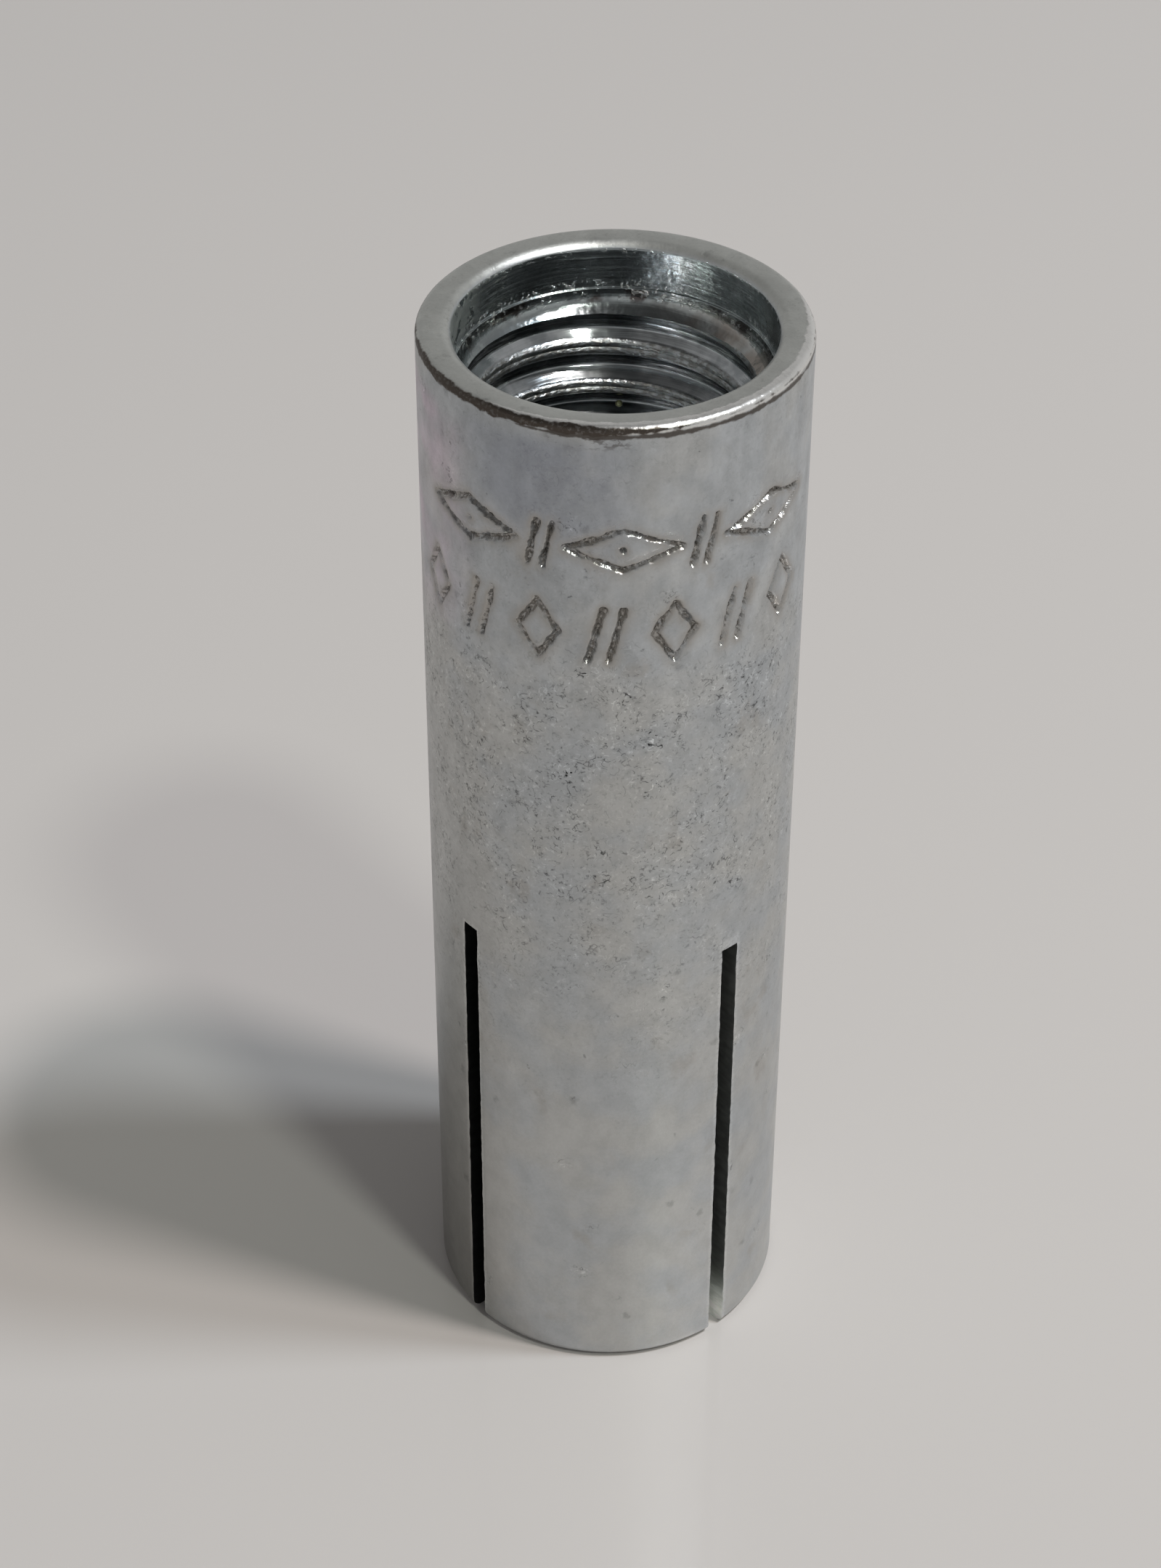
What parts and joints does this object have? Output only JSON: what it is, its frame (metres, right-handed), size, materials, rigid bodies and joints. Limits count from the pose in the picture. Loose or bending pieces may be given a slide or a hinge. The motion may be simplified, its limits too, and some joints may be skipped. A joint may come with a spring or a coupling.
{
  "type": "drop-in anchor",
  "caption": "Steel drop-in anchor: an internally threaded sleeve with a slotted base, and a conical expansion plug that is driven down its bore to spread the base.",
  "frame": {"origin": "centre of the slotted base's face, on the sleeve's axis", "axes": "+Z along the sleeve's axis, from the slotted base up to the threaded mouth; X and Y each pass midway between two slots"},
  "size_m": [0.0156, 0.0156, 0.05],
  "materials": {
    "zinc_plated_steel": "satin blue-grey zinc plating with fine scratches, worn bright and brown at the mouth's rim",
    "plug_steel": "turned steel with fine tool rings and a thin film of oil"
  },
  "bodies": {
    "sleeve": {"sleeve": "zinc_plated_steel"},
    "plug": {"expansion_plug": "plug_steel"}
  },
  "joints": [
    {"name": "plug_drive", "type": "slide", "parent": "sleeve", "child": "plug", "axis": [0, 0, -1], "range_m": [0, 0.003]}
  ]
}
